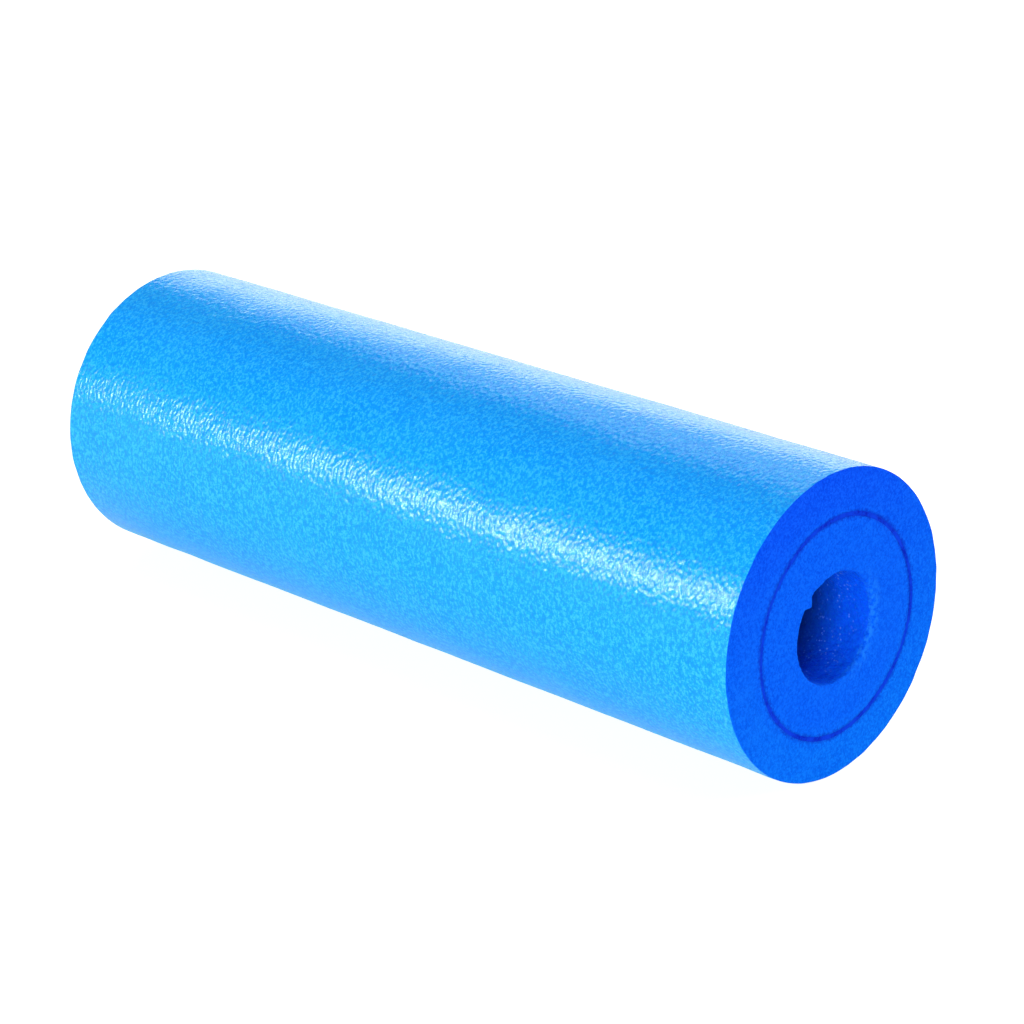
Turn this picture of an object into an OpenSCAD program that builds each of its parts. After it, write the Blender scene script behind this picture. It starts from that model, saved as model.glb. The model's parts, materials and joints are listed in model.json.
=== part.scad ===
// Two-layer foam roller: a firm foam core with a bore, inside a softer foam sleeve.
// The two foams are joined by a thin melted layer, which shows as a dark ring on each end.
// The roller lies on its side along X and rests on the plane z = 0.

/* [Roller] */
// Overall length
roller_length = 450; // [300:5:900]
// Outside diameter
roller_diameter = 145; // [130:1:160]
// Radius of the softened edge around each end
rim_radius = 1.6; // [0.5:0.1:4]

/* [Layers] */
// Diameter at the middle of the melted layer between the two foams
bond_diameter = 103.2; // [90:0.2:112]
// Thickness of the melted layer
bond_thickness = 2; // [0.6:0.1:3]

/* [Bore] */
// Diameter of the bore through the core
bore_diameter = 52.4; // [40:0.2:64]
// Radius of the softened edge at each mouth of the bore
mouth_radius = 0.8; // [0.4:0.1:2]

/* [Hidden] */
$fn = 96;

roller_radius = roller_diameter / 2;
bond_outer_radius = (bond_diameter + bond_thickness) / 2;
bond_inner_radius = (bond_diameter - bond_thickness) / 2;
bore_radius = bore_diameter / 2;

// Turns what is drawn about Z into a roller along X, centred, at its height above the floor.
module lie_down() {
    translate([0, 0, roller_radius])
        rotate([0, 90, 0])
            children();
}

// A half-section of a ring: x is the radius, y runs along the roller and is centred.
// The corners on the outer or the inner side are rounded where their radius isn't 0.
module ring_section(inner, outer, outer_round = 0, inner_round = 0) {
    half = roller_length / 2;
    largest_round = max(outer_round, inner_round);
    // The flat ends, between the rounded corners
    translate([inner + inner_round, -half])
        square([outer - outer_round - inner - inner_round, roller_length]);
    // The full width, short of the rounded corners
    translate([inner, largest_round - half])
        square([outer - inner, roller_length - 2 * largest_round]);
    for (end = [-1, 1]) {
        if (outer_round > 0)
            translate([outer - outer_round, end * (half - outer_round)])
                circle(r = outer_round);
        if (inner_round > 0)
            translate([inner + inner_round, end * (half - inner_round)])
                circle(r = inner_round);
    }
}

// A ring of foam as long as the roller, between two radii.
module foam_ring(inner, outer, outer_round = 0, inner_round = 0) {
    lie_down()
        rotate_extrude()
            ring_section(inner, outer, outer_round, inner_round);
}

// Soft foam that the user lies on, with its smooth skin on the outside.
module outer_sleeve() {
    color("deepskyblue")
        foam_ring(bond_outer_radius, roller_radius, outer_round = rim_radius);
}

// Foam melted solid where the sleeve was welded onto the core.
module bond_layer() {
    color("mediumblue")
        foam_ring(bond_inner_radius, bond_outer_radius);
}

// Firm foam tube that carries the load, with the bore through it.
module inner_core() {
    color("dodgerblue")
        foam_ring(bore_radius, bond_inner_radius, inner_round = mouth_radius);
}

outer_sleeve();
bond_layer();
inner_core();
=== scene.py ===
import json
import math

import bpy
import numpy as np
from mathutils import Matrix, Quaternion, Vector


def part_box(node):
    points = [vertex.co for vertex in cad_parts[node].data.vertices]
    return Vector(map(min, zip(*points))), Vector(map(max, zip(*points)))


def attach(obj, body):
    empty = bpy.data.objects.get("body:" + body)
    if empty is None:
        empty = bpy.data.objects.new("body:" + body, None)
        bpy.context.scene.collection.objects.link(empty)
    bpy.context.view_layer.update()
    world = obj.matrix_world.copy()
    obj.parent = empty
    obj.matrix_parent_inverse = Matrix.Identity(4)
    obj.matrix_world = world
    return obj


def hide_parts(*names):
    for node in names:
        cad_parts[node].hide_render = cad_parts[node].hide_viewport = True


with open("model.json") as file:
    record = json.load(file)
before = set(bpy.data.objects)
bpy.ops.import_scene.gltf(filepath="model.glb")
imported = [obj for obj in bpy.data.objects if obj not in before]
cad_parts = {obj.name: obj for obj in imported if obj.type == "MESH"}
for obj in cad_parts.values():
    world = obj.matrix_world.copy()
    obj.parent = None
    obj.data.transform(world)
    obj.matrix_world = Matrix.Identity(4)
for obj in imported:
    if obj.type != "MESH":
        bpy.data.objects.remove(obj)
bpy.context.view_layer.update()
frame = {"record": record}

# A two-layer foam roller that lies on its side along X. Everything is in metres, in the CAD frame.

MM = 0.001

# ---- Sizes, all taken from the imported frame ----

SLEEVE_LOW, SLEEVE_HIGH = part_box("outer_sleeve")
BOND_LOW, BOND_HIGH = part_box("bond_layer")
CORE_LOW, CORE_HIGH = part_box("inner_core")
MOUNTS = {mount["name"]: mount for mount in frame["record"]["mounts"]}

HALF = (SLEEVE_HIGH.x - SLEEVE_LOW.x) / 2
RADIUS = (SLEEVE_HIGH.z - SLEEVE_LOW.z) / 2
AXIS_Z = (SLEEVE_HIGH.z + SLEEVE_LOW.z) / 2
BOND_OUTER = (BOND_HIGH.z - BOND_LOW.z) / 2
BOND_INNER = (CORE_HIGH.z - CORE_LOW.z) / 2
BORE_RADIUS = MOUNTS["bore"]["dims"]["r_mm"] * MM

# ---- Mesh density ----

# Points around the turn
AROUND = 410
TURN = np.linspace(0, 2 * math.pi, AROUND, endpoint=False)

# Rows of points. The rim, the mouth and the hidden surfaces leave out their first and last
SIDE_ROWS = 400
SLEEVE_FACE_ROWS = 16
BOND_FACE_ROWS = 7
CORE_FACE_ROWS = 26
RIM_ROWS = 7
MOUTH_ROWS = 6
HIDDEN_ROWS = 14
# Neighbouring pieces share these stations, so that their points are the same where they meet inside
HIDDEN_X = np.linspace(-HALF, HALF, HIDDEN_ROWS)[1:-1]

# The rows of a cut face are packed towards its edges by this much, 0 to 1
SLEEVE_FACE_EASE = 0.6
CORE_FACE_EASE = 0.4

# The rows of the bore's wall are close together near the mouths
FINE_STEP = 1.15 * MM
COARSE_STEP = 6 * MM
FINE_START = 3 * MM
FINE_REACH = 70 * MM

# ---- Shape of the foam ----

RIM_RADIUS = 0.5 * MM
# The rim is cut foam up to this turn from the end face, and skin beyond it
SKIN_TURN = 1.25
# The side's waves grow from nothing at its ends over this distance
WAVES_REACH = 4 * MM
# The cut face falls away by this much over this distance from the outer edge
EDGE_DROP = 0.1 * MM
EDGE_REACH = 9 * MM
# The cut faces sink into a groove at the bond, and the bond's middle sinks by a share of a recess more
GROOVE_DEPTH = 0.15 * MM
GROOVE_WIDTH = 2.2 * MM
BOND_RECESS = 0.25 * MM
BOND_HOLLOW = 0.5

# The bore's softened edge, and how much wider it gets
MOUTH_RADIUS = 0.9 * MM
MOUTH_WIDENING = 1.6
BACK_MOUTH_SHARE = 0.3
# The angle from +Y towards which the front mouth is widest and most torn, and towards which the painted
# highlights beside the bore lie
LIP_ANGLE = math.radians(-15)

# The nib fills the corner of the front mouth beyond this far to -Y and above this height over the axis
NIB_SIDE = 16.2 * MM
NIB_FLOOR = 13.2 * MM
NIB_DEPTH = 7 * MM
NIB_CURVE = 1.5
# The least cosine or sine to divide by, for the angles at which a side of the nib isn't met
LEAST_SLANT = 0.1


def bump_series(seed, waves, height):
    """A smooth random function around the roller, of these wave numbers, about height tall."""
    rng = np.random.default_rng(seed)
    sizes = rng.normal(0, 1, len(waves))
    sizes *= height / np.sqrt((sizes ** 2).sum() / 2)
    phases = rng.uniform(0, 2 * math.pi, len(waves))

    def value(angle):
        angle = np.asarray(angle)[..., None]
        return (sizes * np.cos(angle * np.array(waves) + phases)).sum(-1)

    return value


def surface_waves(seed, count, shortest, longest, height, about):
    """A smooth random function of (angle, x), periodic around a circle of radius about."""
    rng = np.random.default_rng(seed)
    lengths = rng.uniform(shortest, longest, count)
    headings = rng.uniform(0, 2 * math.pi, count)
    around = np.round(about * 2 * math.pi * np.cos(headings) / lengths)
    along = 2 * math.pi * np.sin(headings) / lengths
    phases = rng.uniform(0, 2 * math.pi, count)
    scale = height / math.sqrt(count / 2)

    def value(angle, x):
        total = 0
        for turns, pitch, phase in zip(around, along, phases):
            total = total + np.cos(turns * angle + pitch * x + phase)
        return scale * total

    return value


# How the welded interface wanders at the front end and at the back end: small waves, and a shift sideways
FRONT_WANDER = bump_series(11, [2, 3, 4, 5, 7, 9], 0.28 * MM)
BACK_WANDER = bump_series(12, [2, 3, 4, 6, 8], 0.35 * MM)
THICKNESS_WANDER = bump_series(13, [1, 2, 3, 5, 8, 12], 0.28 * MM)
# Each side of the bond is this much thinner than in the CAD, where it is a plain ring
BOND_TRIM = 0.12 * MM
FRONT_SHIFT = (2.1 * MM, math.radians(-28))
BACK_SHIFT = (0.7 * MM, math.radians(110))
BORE_SHIFT = (1.7 * MM, math.radians(-56))


def from_back_to_front(x):
    """0 at the back end, 1 at the front end."""
    return np.clip((x + HALF) / (2 * HALF), 0, 1)


def interface(angle, x, radius, side):
    """The radius of the bond's outer (side 1) or inner (side -1) surface at an angle and an x."""
    front = FRONT_SHIFT[0] * np.cos(angle - FRONT_SHIFT[1]) + FRONT_WANDER(angle)
    back = BACK_SHIFT[0] * np.cos(angle - BACK_SHIFT[1]) + BACK_WANDER(angle)
    share = from_back_to_front(x)
    half_change = THICKNESS_WANDER(angle + x / RADIUS) / 2 - BOND_TRIM
    return radius + share * front + (1 - share) * back + side * half_change


def bond_outer(angle, x):
    """The radius where the bond meets the sleeve."""
    return interface(angle, x, BOND_OUTER, 1)


def bond_inner(angle, x):
    """The radius where the bond meets the core."""
    return interface(angle, x, BOND_INNER, -1)


# ---- Building a ring of foam from rows of points ----


def ring_mesh(name, rows, materials):
    """A closed ring. rows is a list of (x, radius, material index); x and radius run around the turn."""
    count = len(rows)
    xs = np.array([np.broadcast_to(x, AROUND) for x, _, _ in rows])
    rs = np.array([np.broadcast_to(r, AROUND) for _, r, _ in rows])
    points = np.stack([xs, rs * np.cos(TURN), AXIS_Z + rs * np.sin(TURN)], axis=-1).reshape(-1, 3)
    row = np.arange(count)[:, None]
    col = np.arange(AROUND)[None, :]
    next_row = (row + 1) % count
    next_col = (col + 1) % AROUND
    quads = np.stack(
        [
            row * AROUND + col,
            row * AROUND + next_col,
            next_row * AROUND + next_col,
            next_row * AROUND + col,
        ],
        axis=-1,
    ).reshape(-1, 4)
    # Faces look outwards where the rows run clockwise in a plot of radius against x
    mean_x, mean_r = xs.mean(axis=1), rs.mean(axis=1)
    turned = (mean_x * np.roll(mean_r, -1) - np.roll(mean_x, -1) * mean_r).sum()
    if turned > 0:
        quads = quads[:, ::-1]
    mesh = bpy.data.meshes.new(name)
    mesh.from_pydata(points.tolist(), [], quads.tolist())
    for material in materials:
        mesh.materials.append(material)
    indices = np.repeat([index for _, _, index in rows], AROUND)
    mesh.polygons.foreach_set("material_index", indices.astype(np.int32))
    mesh.polygons.foreach_set("use_smooth", np.ones(len(quads), bool))
    mesh.update()
    piece = bpy.data.objects.new(name, mesh)
    bpy.context.scene.collection.objects.link(piece)
    return piece


# Roughening keeps this far from the ends and the bond, from the bore's mouth and from the rim
KEEP_OFF = 3 * MM
KEEP_OFF_MOUTH = 4 * MM
KEEP_OFF_RIM = 2 * MM
# A point this near the side, the bore's wall or an end's plane belongs to that surface
SIDE_BAND = 1 * MM
WALL_BAND = 2.5 * MM
FACE_BAND = 1.5 * MM


def roughen(piece, seed, height, slip=0.0):
    """Moves each point in or out, and sideways on the side, at random, away from edges and joins."""
    count = len(piece.data.vertices)
    points = np.empty(count * 3, np.float32)
    normals = np.empty(count * 3, np.float32)
    piece.data.vertices.foreach_get("co", points)
    piece.data.vertex_normals.foreach_get("vector", normals)
    points = points.reshape(-1, 3)
    normals = normals.reshape(-1, 3)
    x = np.abs(points[:, 0])
    radius = np.hypot(points[:, 1], points[:, 2] - AXIS_Z)
    inland = x < HALF - KEEP_OFF
    side = inland & (radius > RADIUS - SIDE_BAND)
    wall = inland & (radius < BORE_RADIUS + WALL_BAND)
    face = (x > HALF - FACE_BAND) & (radius < RADIUS - KEEP_OFF_RIM)
    face &= radius > BORE_RADIUS + KEEP_OFF_MOUTH
    face &= (radius < BOND_INNER - KEEP_OFF) | (radius > BOND_OUTER + KEEP_OFF)
    rng = np.random.default_rng(seed)
    lift = np.clip(rng.normal(0, height, count), -2 * height, 2 * height)
    points += normals * (lift * (side | wall | face))[:, None]
    shift = rng.uniform(-slip, slip, (count, 2)) * side[:, None]
    angle = np.arctan2(points[:, 2] - AXIS_Z, points[:, 1])
    points[:, 0] += shift[:, 0]
    points[:, 1] -= shift[:, 1] * np.sin(angle)
    points[:, 2] += shift[:, 1] * np.cos(angle)
    piece.data.vertices.foreach_set("co", points.ravel())
    piece.data.update()


def add_piece(piece, node):
    """Hangs the piece on the root body and hides the CAD part it replaces."""
    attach(piece, "root")
    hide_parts(node)


def spaced(first, last, count, ease):
    """count shares from first to last, packed towards both ends where ease is above 0."""
    share = np.linspace(0, 1, count)
    share = (1 - ease) * share + ease * (1 - np.cos(math.pi * share)) / 2
    return first + (last - first) * share


# The cut ends are nearly flat
FRONT_FACE_WAVES = surface_waves(21, 14, 12 * MM, 40 * MM, 0.07 * MM, RADIUS / 2)
BACK_FACE_WAVES = surface_waves(22, 14, 12 * MM, 40 * MM, 0.07 * MM, RADIUS / 2)


def face_dip(radius, edge):
    """How far the cut face sinks towards the bond's groove."""
    return GROOVE_DEPTH * np.exp(-(((radius - edge) / GROOVE_WIDTH) ** 2))


def edge_fall(radius):
    """How far the cut face falls away as it nears the outer edge."""
    share = np.clip((radius - RADIUS + EDGE_REACH) / (EDGE_REACH - RIM_RADIUS), 0, 1)
    return EDGE_DROP * share ** 2


def end_face(end, radius, edge):
    """The x of a cut face: end is 1 at the front and -1 at the back, edge is the bond's radius."""
    waves = FRONT_FACE_WAVES if end > 0 else BACK_FACE_WAVES
    return end * (HALF - face_dip(radius, edge) - edge_fall(radius)) + waves(TURN, radius)


# ---- The outer sleeve ----

SIDE_WAVES = surface_waves(31, 26, 26 * MM, 75 * MM, 0.07 * MM, RADIUS)
RIM_WAVES = surface_waves(32, 20, 6 * MM, 20 * MM, 0.10 * MM, RADIUS)


def sleeve_rows():
    """The front face, its rim, the side, the back rim and face, and the hidden inside."""
    skin, cut = 0, 1
    rows = []
    side_x = HALF - EDGE_DROP - RIM_RADIUS

    def face(end):
        edge = bond_outer(TURN, end * HALF)
        for share in spaced(0, 1, SLEEVE_FACE_ROWS, SLEEVE_FACE_EASE):
            radius = edge + share * (RADIUS - RIM_RADIUS - edge)
            rows.append((end_face(end, radius, edge), radius, cut))

    def rim(end, outward):
        lift = RIM_WAVES(TURN, end * HALF)
        turns = np.linspace(0, math.pi / 2, RIM_ROWS)[1:-1]
        for turn in turns if outward else turns[::-1]:
            x = end * (side_x + RIM_RADIUS * math.cos(turn))
            radius = RADIUS - RIM_RADIUS + RIM_RADIUS * math.sin(turn)
            material = cut if turn < SKIN_TURN else skin
            rows.append((x + end * lift * math.sin(2 * turn), radius, material))

    face(1)
    rim(1, True)
    for x in np.linspace(side_x, -side_x, SIDE_ROWS):
        share = np.clip((side_x - abs(x)) / WAVES_REACH, 0, 1)
        rows.append((x, RADIUS + share * SIDE_WAVES(TURN, x), skin))
    rim(-1, False)
    start = len(rows)
    face(-1)
    rows[start:] = rows[start:][::-1]
    for x in HIDDEN_X:
        rows.append((x, bond_outer(TURN, x), cut))
    return rows


# ---- The bond layer ----

BOND_FUZZ = surface_waves(41, 24, 3 * MM, 9 * MM, 0.12 * MM, BOND_INNER)


def bond_rows():
    """The front face, the hidden outside, the back face and the hidden inside."""
    rows = []

    def face(end, shares):
        inner = bond_inner(TURN, end * HALF)
        outer = bond_outer(TURN, end * HALF)
        for share in shares:
            hollow = BOND_HOLLOW * math.sin(math.pi * share)
            depth = GROOVE_DEPTH + (BOND_RECESS + BOND_FUZZ(TURN, end * share * MM)) * hollow
            rows.append((end * (HALF - depth), inner + share * (outer - inner), 0))

    shares = np.linspace(0, 1, BOND_FACE_ROWS)
    face(1, shares)
    for x in HIDDEN_X[::-1]:
        rows.append((x, bond_outer(TURN, x), 0))
    face(-1, shares[::-1])
    for x in HIDDEN_X:
        rows.append((x, bond_inner(TURN, x), 0))
    return rows


# ---- The inner core ----

BORE_WAVES = surface_waves(51, 40, 5 * MM, 22 * MM, 0.13 * MM, BORE_RADIUS)
BORE_LUMPS = surface_waves(52, 60, 2.2 * MM, 5 * MM, 0.07 * MM, BORE_RADIUS)
MOUTH_LUMPS = surface_waves(53, 40, 2.5 * MM, 8 * MM, 0.16 * MM, BORE_RADIUS)


def plain_wall():
    """The bore's radius around the turn, before its lumps."""
    return BORE_RADIUS + BORE_SHIFT[0] * np.cos(TURN - BORE_SHIFT[1])


def nib(depth):
    """How far the nib stands into the bore, around the turn, at a depth inside the front mouth."""
    to_side = NIB_SIDE / np.clip(-np.cos(TURN), LEAST_SLANT, None)
    to_floor = NIB_FLOOR / np.clip(np.sin(TURN), LEAST_SLANT, None)
    height = np.clip(plain_wall() - np.maximum(to_side, to_floor), 0, None)
    run_out = np.clip(1 - depth / NIB_DEPTH, 0, 1) ** NIB_CURVE
    return height * run_out


def bore_wall(x):
    """The bore's radius around the turn at x."""
    return plain_wall() + BORE_WAVES(TURN, x) + BORE_LUMPS(TURN, x)


def mouth_size(end):
    """The width of the bore's softened edge around the turn. The front one is widest on the +Y side."""
    share = np.clip(np.cos(TURN - LIP_ANGLE), 0, 1) ** 2 if end > 0 else BACK_MOUTH_SHARE
    return MOUTH_RADIUS * (1 + MOUTH_WIDENING * share)


def bore_stations():
    """The x of each row of the bore's wall, front to back, close together near the mouths."""
    near = np.arange(FINE_START, FINE_REACH, FINE_STEP)
    coarse_rows = int((2 * HALF - 2 * FINE_REACH) / COARSE_STEP)
    inside = np.linspace(HALF - FINE_REACH, FINE_REACH - HALF, coarse_rows)
    return np.concatenate([HALF - near, inside, near[::-1] - HALF])


def core_rows():
    """The front face and mouth, the bore's wall, the back mouth and face, and the hidden outside."""
    cut, wall = 0, 1
    rows = []

    def face(end):
        edge = bond_inner(TURN, end * HALF)
        front = 1 if end > 0 else 0
        mouth = bore_wall(end * HALF) + mouth_size(end) - front * nib(0)
        for share in spaced(1, 0, CORE_FACE_ROWS, CORE_FACE_EASE):
            radius = mouth + share * (edge - mouth)
            rows.append((end_face(end, radius, edge), radius, cut))

    def mouth(end):
        front = 1 if end > 0 else 0
        size = mouth_size(end)
        rough = MOUTH_LUMPS(TURN, end * HALF) * size / MOUTH_RADIUS / 2
        for turn in np.linspace(0, math.pi / 2, MOUTH_ROWS)[1:-1]:
            depth = size * (1 - math.cos(turn))
            radius = bore_wall(end * HALF) + size * (1 - math.sin(turn)) - front * nib(depth)
            rows.append((end * (HALF - depth), radius + rough * math.sin(2 * turn), cut))

    face(1)
    mouth(1)
    for x in bore_stations():
        rows.append((x, bore_wall(x) - nib(HALF - x), wall))
    start = len(rows)
    face(-1)
    mouth(-1)
    rows[start:] = rows[start:][::-1]
    for x in HIDDEN_X:
        rows.append((x, bond_inner(TURN, x), cut))
    return rows


# ---- Materials ----

# The skin's swells are shorter along the roller than around it, and its grain is nearly round
SWELL_STRETCH = (1.25, 0.8, 0.8)
GRAIN_STRETCH = (1.08, 0.92, 0.92)
# The skin is lighter than the cut foam partly by its own tone and partly as painted light on the side. Its
# dark and light grain colours are partly painted shade on the pebbles, and the light one's red is a
# painted glint
SKIN_COLOUR = (0.001, 0.308, 0.960)
SKIN_DARK = (0.0005, 0.235, 0.900)
SKIN_LIGHT = (0.030, 0.425, 0.988)
SHEEN_TINT = (0.05, 0.75, 1.0)
CUT_COLOUR = (0.001, 0.107, 0.870)
CUT_DARK = (0.0005, 0.080, 0.780)
CUT_LIGHT = (0.004, 0.142, 0.930)
# A painted highlight on the torn lip
LIP_PAINTED_HIGHLIGHT = (0.020, 0.270, 1.000)
BOND_COLOUR = (0.002, 0.018, 0.480)
BOND_LIGHT = (0.003, 0.050, 0.720)
WALL_COLOUR = (0.001, 0.092, 0.920)
WALL_LIGHT = (0.002, 0.142, 0.970)
# Painted shade deep in the bore
WALL_PAINTED_SHADE = (0.001, 0.030, 0.260)
# Painted glints in the bore
PAINTED_GLINT_COLOUR = (0.13, 0.32, 1.0)
# Painted shade and light on the cut ends: the cut foam is tinted lighter towards this angle from +Y and
# darker away from it, fully on the sleeve and by a share on the core.
# The one turns into the other between this far inside the bond and this far outside it
PAINTED_LIGHT_ANGLE = math.radians(-78)
PAINTED_SHADE_TINT = (1.0, 0.69, 0.97)
PAINTED_LIGHT_TINT = (1.0, 1.46, 1.0)
SIDE_SHADE_REACH = 5 * MM
CORE_SIDE_SHADE = 0.2
# The painted highlights on the torn lip show beyond this far towards LIP_ANGLE, and fade this far out from
# the bore
LIP_ACROSS = (12 * MM, 26 * MM)
LIP_OUTWARD = (1 * MM, 7 * MM)
# The darker band beside the bond fades over this distance from the bond's middle, and its edge wanders
BAND_REACH = (0.5 * MM, 2.6 * MM)
BAND_STRENGTH = 0.6
BAND_WANDER = 0.8 * MM
# The depths over which painted shade darkens the bore's wall, and over which its painted glints come and
# go
WALL_SHADE_DEPTHS = (17 * MM, 39 * MM)
GLINTS_COME = (7 * MM, 14 * MM)
GLINTS_GO = (24 * MM, 33 * MM)


class Nodes:
    """A new material with its shader, and short ways to add nodes to it."""

    def __init__(self, name, roughness, specular):
        self.material = bpy.data.materials.new(name)
        self.material.use_nodes = True
        self.tree = self.material.node_tree
        self.shader = self.tree.nodes["Principled BSDF"]
        self.shader.inputs["Roughness"].default_value = roughness
        self.shader.inputs["Specular IOR Level"].default_value = specular
        self.place = self.add("ShaderNodeTexCoord").outputs["Object"]

    def add(self, kind, links=None, **settings):
        """A node. links maps its sockets to other sockets or to values."""
        node = self.tree.nodes.new(kind)
        for name, value in settings.items():
            setattr(node, name, value)
        for name, value in (links or {}).items():
            self.join(value, node.inputs[name])
        return node

    def join(self, value, socket):
        """A link where the value is a socket, and a fixed value where it isn't."""
        if isinstance(value, bpy.types.NodeSocket):
            self.tree.links.new(value, socket)
        else:
            socket.default_value = value

    def math(self, operation, a, b=0.0):
        """The result of one operation on two numbers."""
        return self.add("ShaderNodeMath", {0: a, 1: b}, operation=operation).outputs[0]

    def noise(self, size, detail=2.0, rough=0.5, stretch=None):
        """Noise whose features are about size metres across."""
        place = self.place
        if stretch:
            stretched = self.add("ShaderNodeVectorMath", {0: place, 1: stretch}, operation="MULTIPLY")
            place = stretched.outputs[0]
        links = {"Vector": place, "Scale": 1 / size, "Detail": detail, "Roughness": rough}
        return self.add("ShaderNodeTexNoise", links).outputs["Fac"]

    def cells(self, size, smooth=0.3):
        """The distance to the nearest cell's middle, 0 to about 1, in cells about size metres across."""
        links = {"Vector": self.place, "Scale": 1 / size, "Smoothness": smooth}
        return self.add("ShaderNodeTexVoronoi", links, feature="SMOOTH_F1").outputs["Distance"]

    def spread(self, value, low, high, new_low=0.0, new_high=1.0):
        """The value, taken from low..high to new_low..new_high and held there."""
        links = {0: value, 1: low, 2: high, 3: new_low, 4: new_high}
        return self.add("ShaderNodeMapRange", links).outputs[0]

    def mix(self, share, a, b, how="MIX"):
        """Colour a turning into colour b as the share goes from 0 to 1."""
        # In this node inputs 6 and 7 are the two colours, and output 2 is the mixed one
        node = self.add("ShaderNodeMix", data_type="RGBA", blend_type=how)
        self.join(share, node.inputs[0])
        for socket, value in ((node.inputs[6], a), (node.inputs[7], b)):
            if not isinstance(value, bpy.types.NodeSocket):
                value = (*value, 1.0)
            self.join(value, socket)
        return node.outputs[2]

    def shades(self, value, low, middle, high, colours):
        """Three colours, dark to light, as the value goes from low through middle to high."""
        dark, plain, light = colours
        colour = self.mix(self.spread(value, low, middle), dark, plain)
        return self.mix(self.spread(value, middle, high), colour, light)

    def from_axis(self):
        """The place measured from a point on the roller's axis."""
        links = {0: self.place, 1: (0, 0, AXIS_Z)}
        return self.add("ShaderNodeVectorMath", links, operation="SUBTRACT").outputs[0]

    def radius(self):
        """The distance from the roller's axis, in metres."""
        links = {0: self.from_axis(), 1: (0, 1, 1)}
        flat = self.add("ShaderNodeVectorMath", links, operation="MULTIPLY").outputs[0]
        return self.add("ShaderNodeVectorMath", {0: flat}, operation="LENGTH").outputs["Value"]

    def along(self):
        """The place along the roller, in metres from its middle."""
        return self.add("ShaderNodeSeparateXYZ", {0: self.place}).outputs["X"]

    def across(self, angle):
        """The distance from the axis measured towards an angle from +Y, in metres."""
        links = {0: self.from_axis(), 1: (0, math.cos(angle), math.sin(angle))}
        return self.add("ShaderNodeVectorMath", links, operation="DOT_PRODUCT").outputs["Value"]

    def bond_radius(self):
        """The radius of the bond's middle, shifted sideways as its mesh is along the roller."""
        middle = (BOND_INNER + BOND_OUTER) / 2
        share = self.spread(self.along(), -HALF, HALF)
        front = self.math("MULTIPLY", self.across(FRONT_SHIFT[1]), FRONT_SHIFT[0] / middle)
        back = self.math("MULTIPLY", self.across(BACK_SHIFT[1]), BACK_SHIFT[0] / middle)
        front = self.math("MULTIPLY", front, share)
        back = self.math("MULTIPLY", back, self.math("SUBTRACT", 1.0, share))
        return self.math("ADD", middle, self.math("ADD", front, back))

    def colour(self, value):
        """Sets the shader's colour."""
        self.join(value, self.shader.inputs["Base Color"])

    def roughness(self, value):
        """Sets the shader's roughness."""
        self.join(value, self.shader.inputs["Roughness"])

    def bump(self, *layers):
        """Bump layers, each (height socket, height in metres), laid one on another."""
        normal = None
        for height, distance in layers:
            links = {"Height": height, "Distance": distance, "Strength": 1.0}
            if normal is not None:
                links["Normal"] = normal
            normal = self.add("ShaderNodeBump", links).outputs[0]
        self.join(normal, self.shader.inputs["Normal"])


def skin_material():
    """The sleeve's moulded skin: pebbled, satin, lighter than the foam inside, partly as painted light."""
    nodes = Nodes("sleeve_skin", roughness=0.2, specular=0.26)
    nodes.shader.inputs["Sheen Weight"].default_value = 0.25
    nodes.shader.inputs["Sheen Roughness"].default_value = 0.4
    nodes.shader.inputs["Sheen Tint"].default_value = (*SHEEN_TINT, 1.0)
    pebbles = nodes.cells(1.6 * MM)
    grain = nodes.noise(1.6 * MM, detail=3.0, rough=0.75, stretch=GRAIN_STRETCH)
    swell = nodes.noise(2.0 * MM, detail=0.0, stretch=SWELL_STRETCH)
    broad = nodes.noise(38 * MM, detail=3.0)
    # The grain's shades: partly the skin's tone, partly painted shade and painted glints on the pebbles
    colour = nodes.shades(grain, 0.39, 0.5, 0.61, (SKIN_DARK, SKIN_COLOUR, SKIN_LIGHT))
    colour = nodes.mix(nodes.spread(broad, 0.35, 0.7, 0.0, 0.12), colour, SKIN_LIGHT)
    nodes.colour(colour)
    nodes.roughness(nodes.spread(grain, 0.42, 0.60, 0.26, 0.12))
    dents = nodes.noise(9 * MM, detail=2.0)
    nodes.bump((dents, 0.05 * MM), (pebbles, 0.05 * MM), (swell, 0.31 * MM), (grain, 0.05 * MM))
    return nodes.material


def cut_material(name):
    """Foam as a knife leaves it: matt, full of fine closed cells, darker where it was melted, with painted
    shade and light across the ends and painted highlights at the torn mouth.
    """
    nodes = Nodes(name, roughness=0.9, specular=0.02)
    cells = nodes.cells(0.9 * MM, smooth=0.2)
    grain = nodes.noise(1.1 * MM, detail=2.0, rough=0.6)
    cloud = nodes.noise(16 * MM, detail=3.0)
    colour = nodes.shades(grain, 0.36, 0.5, 0.64, (CUT_DARK, CUT_COLOUR, CUT_LIGHT))
    colour = nodes.mix(nodes.spread(cloud, 0.4, 0.75, 0.0, 0.25), colour, CUT_LIGHT)
    radius = nodes.radius()
    # Painted shade and light across the cut ends
    colour = with_painted_side_shade(nodes, radius, colour)
    # Painted highlights on the torn mouth
    colour = with_painted_lip_highlights(nodes, radius, colour)
    nodes.colour(with_bond_band(nodes, radius, colour))
    nodes.bump((cells, 0.06 * MM), (grain, 0.2 * MM))
    return nodes.material


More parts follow.
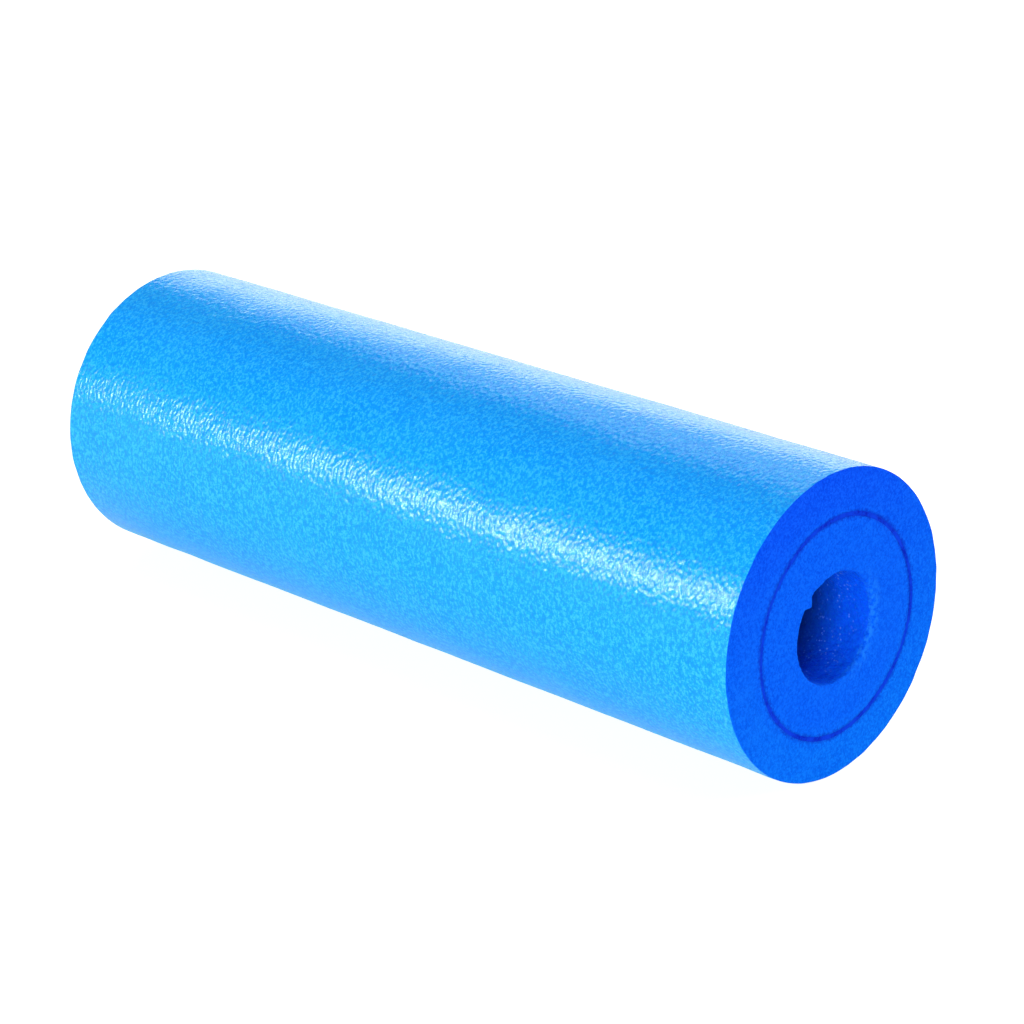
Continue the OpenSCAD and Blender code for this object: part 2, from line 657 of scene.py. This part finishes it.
def with_painted_side_shade(nodes, radius, colour):
    """The colour, with painted shade on one side of the roller and painted light on the other."""
    slope = nodes.spread(nodes.across(PAINTED_LIGHT_ANGLE), -RADIUS, RADIUS)
    fade = nodes.mix(slope, PAINTED_SHADE_TINT, PAINTED_LIGHT_TINT)
    share = nodes.spread(radius, BOND_INNER - SIDE_SHADE_REACH, BOND_OUTER + SIDE_SHADE_REACH, CORE_SIDE_SHADE, 1.0)
    return nodes.mix(share, colour, fade, how="MULTIPLY")


def with_painted_lip_highlights(nodes, radius, colour):
    """The colour, with small lighter patches beside the bore on the +Y side: painted highlights where the
    light catches the torn mouth.
    """
    torn = nodes.spread(nodes.noise(2.8 * MM, detail=3.0, rough=0.7), 0.44, 0.58, 0.0, 0.6)
    torn = nodes.math("MULTIPLY", torn, nodes.spread(nodes.across(LIP_ANGLE), *LIP_ACROSS))
    start, stop = LIP_OUTWARD
    near = nodes.spread(radius, BORE_RADIUS + start, BORE_RADIUS + stop, 1.0, 0.0)
    return nodes.mix(nodes.math("MULTIPLY", torn, near), colour, LIP_PAINTED_HIGHLIGHT)


def with_bond_band(nodes, radius, colour):
    """The colour, with the soft dark band where the foam beside the bond melted."""
    wander = nodes.spread(nodes.noise(2.2 * MM, detail=2.0), 0.3, 0.7, -BAND_WANDER, BAND_WANDER)
    away = nodes.math("ABSOLUTE", nodes.math("SUBTRACT", radius, nodes.bond_radius()))
    away = nodes.math("ADD", away, wander)
    return nodes.mix(nodes.spread(away, *BAND_REACH, BAND_STRENGTH, 0.0), colour, BOND_COLOUR)


def bond_material():
    """Foam melted dense and dark, uneven along its length."""
    nodes = Nodes("melted_bond", roughness=0.8, specular=0.02)
    grain = nodes.noise(1.2 * MM, detail=3.0)
    patches = nodes.noise(9 * MM, detail=2.0)
    colour = nodes.mix(nodes.spread(patches, 0.38, 0.62), BOND_COLOUR, BOND_LIGHT)
    nodes.colour(nodes.mix(nodes.spread(grain, 0.4, 0.62, 0.0, 0.8), colour, BOND_LIGHT))
    nodes.bump((grain, 0.15 * MM))
    return nodes.material


def bore_material():
    """The bore's wall: a thin lumpy skin, with painted glints as small bright dots and painted shade deep
    inside.
    """
    nodes = Nodes("bore_skin", roughness=0.45, specular=0.08)
    lumps = nodes.cells(2.4 * MM, smooth=0.5)
    grain = nodes.noise(1.0 * MM, detail=2.0, rough=0.6)
    depth = nodes.math("SUBTRACT", HALF, nodes.math("ABSOLUTE", nodes.along()))
    colour = nodes.mix(nodes.spread(grain, 0.36, 0.64), WALL_COLOUR, WALL_LIGHT)
    # Painted shade, darker deeper inside
    colour = nodes.mix(nodes.spread(depth, *WALL_SHADE_DEPTHS), colour, WALL_PAINTED_SHADE)
    # Painted glints: small bright dots
    glints = nodes.spread(nodes.cells(1.8 * MM, smooth=0.0), 0.12, 0.36, 0.85, 0.0)
    glint_share = nodes.spread(nodes.noise(4.0 * MM, detail=2.0), 0.43, 0.58)
    # The painted glints show fully from 14 to 24 mm inside, and fade out towards the mouth and deeper in
    glint_share = nodes.math("MULTIPLY", glint_share, nodes.spread(depth, *GLINTS_COME, 0.15, 1.0))
    glint_share = nodes.math("MULTIPLY", glint_share, nodes.spread(depth, *GLINTS_GO, 1.0, 0.1))
    nodes.colour(nodes.mix(nodes.math("MULTIPLY", glints, glint_share), colour, PAINTED_GLINT_COLOUR))
    nodes.roughness(nodes.spread(grain, 0.36, 0.64, 0.55, 0.36))
    nodes.bump((lumps, 0.25 * MM), (grain, 0.2 * MM))
    return nodes.material


# ---- Floor, light and camera ----

FLOOR_HALF = 9.0
FLOOR_DARK = (0.445, 0.445, 0.445)
FLOOR_LIGHT = (0.46, 0.46, 0.46)
# What the floor gives off in front of the roller and behind it, and where along (-1, 1, 0) that changes
FRONT_GLOW = 0.24
BACK_GLOW = 1.2
GLOW_REACH = (0.5, 1.6)
# What it shows the camera, near the roller and far from it, so that it is plain white all over
SEEN_GLOW = (0.84, 1.02)
SEEN_REACH = (0.4, 2.5)
# What the backdrop gives off towards everything but the camera
AMBIENT = 0.12

# Soft boxes that face the roller's middle: name, place, width, height, brightness
SOFT_BOXES = [
    ("top", (0, 0, 2.4), 1.2, 1.6, 1.35),
    ("back_left", (-1.8, 1.8, 0.7), 1.6, 1.0, 2.15),
    ("back_middle", (0.3, 2.3, 1.25), 1.4, 0.8, 15.6),
    ("back_right", (1.8, 1.8, 1.15), 1.4, 0.6, 8.6),
    ("back_high", (-1.2, 1.7, 2.0), 2.0, 0.8, 1.8),
    ("key_left", (-1.3, -2.3, 0.98), 1.2, 0.5, 11.5),
    ("key_low", (0.6, -2.4, 0.14), 2.0, 0.26, 15.0),
    ("key_right", (1.8, -1.8, 0.4), 1.4, 0.75, 9.7),
]
# The narrow box that draws the bright streak along the side, which is faintly green in the photo
STRIP_PLACE = (-1.6, -2.0, 0.635)
STRIP_AIM = (-1.6, 0, 0.1)
STRIP_WIDTH = 0.7
STRIP_HEIGHT = 0.34
STRIP_BRIGHTNESS = 31.0
STRIP_ROLL = math.radians(10.7)
STRIP_TINT = (0.92, 1.14, 0.80)
WHITE = (1.0, 1.0, 1.0)

VIEW_AZIMUTH = math.radians(44.73)
VIEW_ELEVATION = math.radians(19.90)
VIEW_DISTANCE = 1.605
VIEW_AIM = Vector((13.4 * MM, 11.3 * MM, AXIS_Z - 3.3 * MM))
LENS = 116.19
SENSOR = 36.0
CLIP_START = 0.05


def floor_material():
    """A pale floor with a very faint mottle, over-lit until it shows as plain white."""
    nodes = Nodes("pale_floor", roughness=0.9, specular=0.1)
    nodes.shader.inputs["Emission Color"].default_value = (1, 1, 1, 1)
    backwards = nodes.add("ShaderNodeVectorMath", {0: nodes.place, 1: (-1, 1, 0)}, operation="DOT_PRODUCT")
    glow = nodes.spread(backwards.outputs["Value"], *GLOW_REACH, FRONT_GLOW, BACK_GLOW)
    distance = nodes.add("ShaderNodeVectorMath", {0: nodes.place}, operation="LENGTH").outputs["Value"]
    shown = nodes.spread(distance, *SEEN_REACH, *SEEN_GLOW)
    seen = nodes.add("ShaderNodeLightPath").outputs["Is Camera Ray"]
    nodes.join(nodes.spread(seen, 0.0, 1.0, glow, shown), nodes.shader.inputs["Emission Strength"])
    cloud = nodes.noise(0.25, detail=3.0)
    nodes.colour(nodes.mix(nodes.spread(cloud, 0.3, 0.7), FLOOR_DARK, FLOOR_LIGHT))
    return nodes.material


def make_floor():
    """A square of floor at the height on which the roller rests."""
    mesh = bpy.data.meshes.new("floor")
    half = FLOOR_HALF
    corners = [(-half, -half, 0), (half, -half, 0), (half, half, 0), (-half, half, 0)]
    mesh.from_pydata(corners, [], [(0, 1, 2, 3)])
    mesh.materials.append(floor_material())
    floor = bpy.data.objects.new("floor", mesh)
    bpy.context.scene.collection.objects.link(floor)


def make_world():
    """A dim, even room that shows as white, like the floor."""
    world = bpy.data.worlds.new("studio")
    bpy.context.scene.world = world
    world.use_nodes = True
    tree = world.node_tree
    backdrop = tree.nodes["Background"]
    backdrop.inputs["Color"].default_value = (1, 1, 1, 1)
    strength = tree.nodes.new("ShaderNodeMapRange")
    strength.inputs["To Min"].default_value = AMBIENT
    strength.inputs["To Max"].default_value = SEEN_GLOW[1]
    seen = tree.nodes.new("ShaderNodeLightPath")
    tree.links.new(seen.outputs["Is Camera Ray"], strength.inputs["Value"])
    tree.links.new(strength.outputs["Result"], backdrop.inputs["Strength"])


def area_light(name, place, aim, width, height, brightness, roll=0.0, tint=WHITE):
    """A soft box of an even brightness (1 is a white that just clips), rolled about its own axis."""
    light = bpy.data.lights.new(name, "AREA")
    light.color = tint
    light.shape = "RECTANGLE"
    light.size = width
    light.size_y = height
    light.energy = math.pi * width * height * brightness
    lamp = bpy.data.objects.new(name, light)
    lamp.location = place
    lamp.rotation_mode = "QUATERNION"
    turn = (Vector(aim) - Vector(place)).to_track_quat("-Z", "Y")
    lamp.rotation_quaternion = turn @ Quaternion((0, 0, 1), roll)
    lamp.visible_camera = False
    bpy.context.scene.collection.objects.link(lamp)


def make_lights():
    """The soft boxes around the roller, and the strip."""
    for name, place, width, height, brightness in SOFT_BOXES:
        area_light(name, place, (0, 0, AXIS_Z), width, height, brightness)
    size = (STRIP_WIDTH, STRIP_HEIGHT)
    area_light("strip", STRIP_PLACE, STRIP_AIM, *size, STRIP_BRIGHTNESS, STRIP_ROLL, STRIP_TINT)


def make_camera():
    """The camera, at the photo's viewing angle."""
    data = bpy.data.cameras.new("camera")
    data.lens = LENS
    data.sensor_width = SENSOR
    data.clip_start = CLIP_START
    camera = bpy.data.objects.new("camera", data)
    level = math.cos(VIEW_ELEVATION)
    back_x = math.sin(VIEW_AZIMUTH) * level
    back_y = -math.cos(VIEW_AZIMUTH) * level
    back = Vector((back_x, back_y, math.sin(VIEW_ELEVATION)))
    camera.location = VIEW_AIM + back * VIEW_DISTANCE
    camera.rotation_mode = "QUATERNION"
    camera.rotation_quaternion = (-back).to_track_quat("-Z", "Y")
    bpy.context.scene.collection.objects.link(camera)
    bpy.context.scene.camera = camera


# ---- The pieces ----


def make_sleeve():
    """The outer sleeve, with skin outside and cut foam at its ends."""
    sleeve = ring_mesh("foam_sleeve", sleeve_rows(), [skin_material(), cut_material("sleeve_cut")])
    roughen(sleeve, seed=61, height=0.034 * MM, slip=0.3 * MM)
    add_piece(sleeve, "outer_sleeve")


def make_bond():
    """The melted layer between the two foams."""
    bond = ring_mesh("melted_bond", bond_rows(), [bond_material()])
    add_piece(bond, "bond_layer")


def make_core():
    """The core, with cut foam at its ends and its own skin in the bore."""
    core = ring_mesh("foam_core", core_rows(), [cut_material("core_cut"), bore_material()])
    roughen(core, seed=62, height=0.02 * MM)
    add_piece(core, "inner_core")


make_camera()
make_sleeve()
make_bond()
make_core()
make_floor()
make_world()
make_lights()
bpy.context.scene.view_settings.view_transform = "Standard"
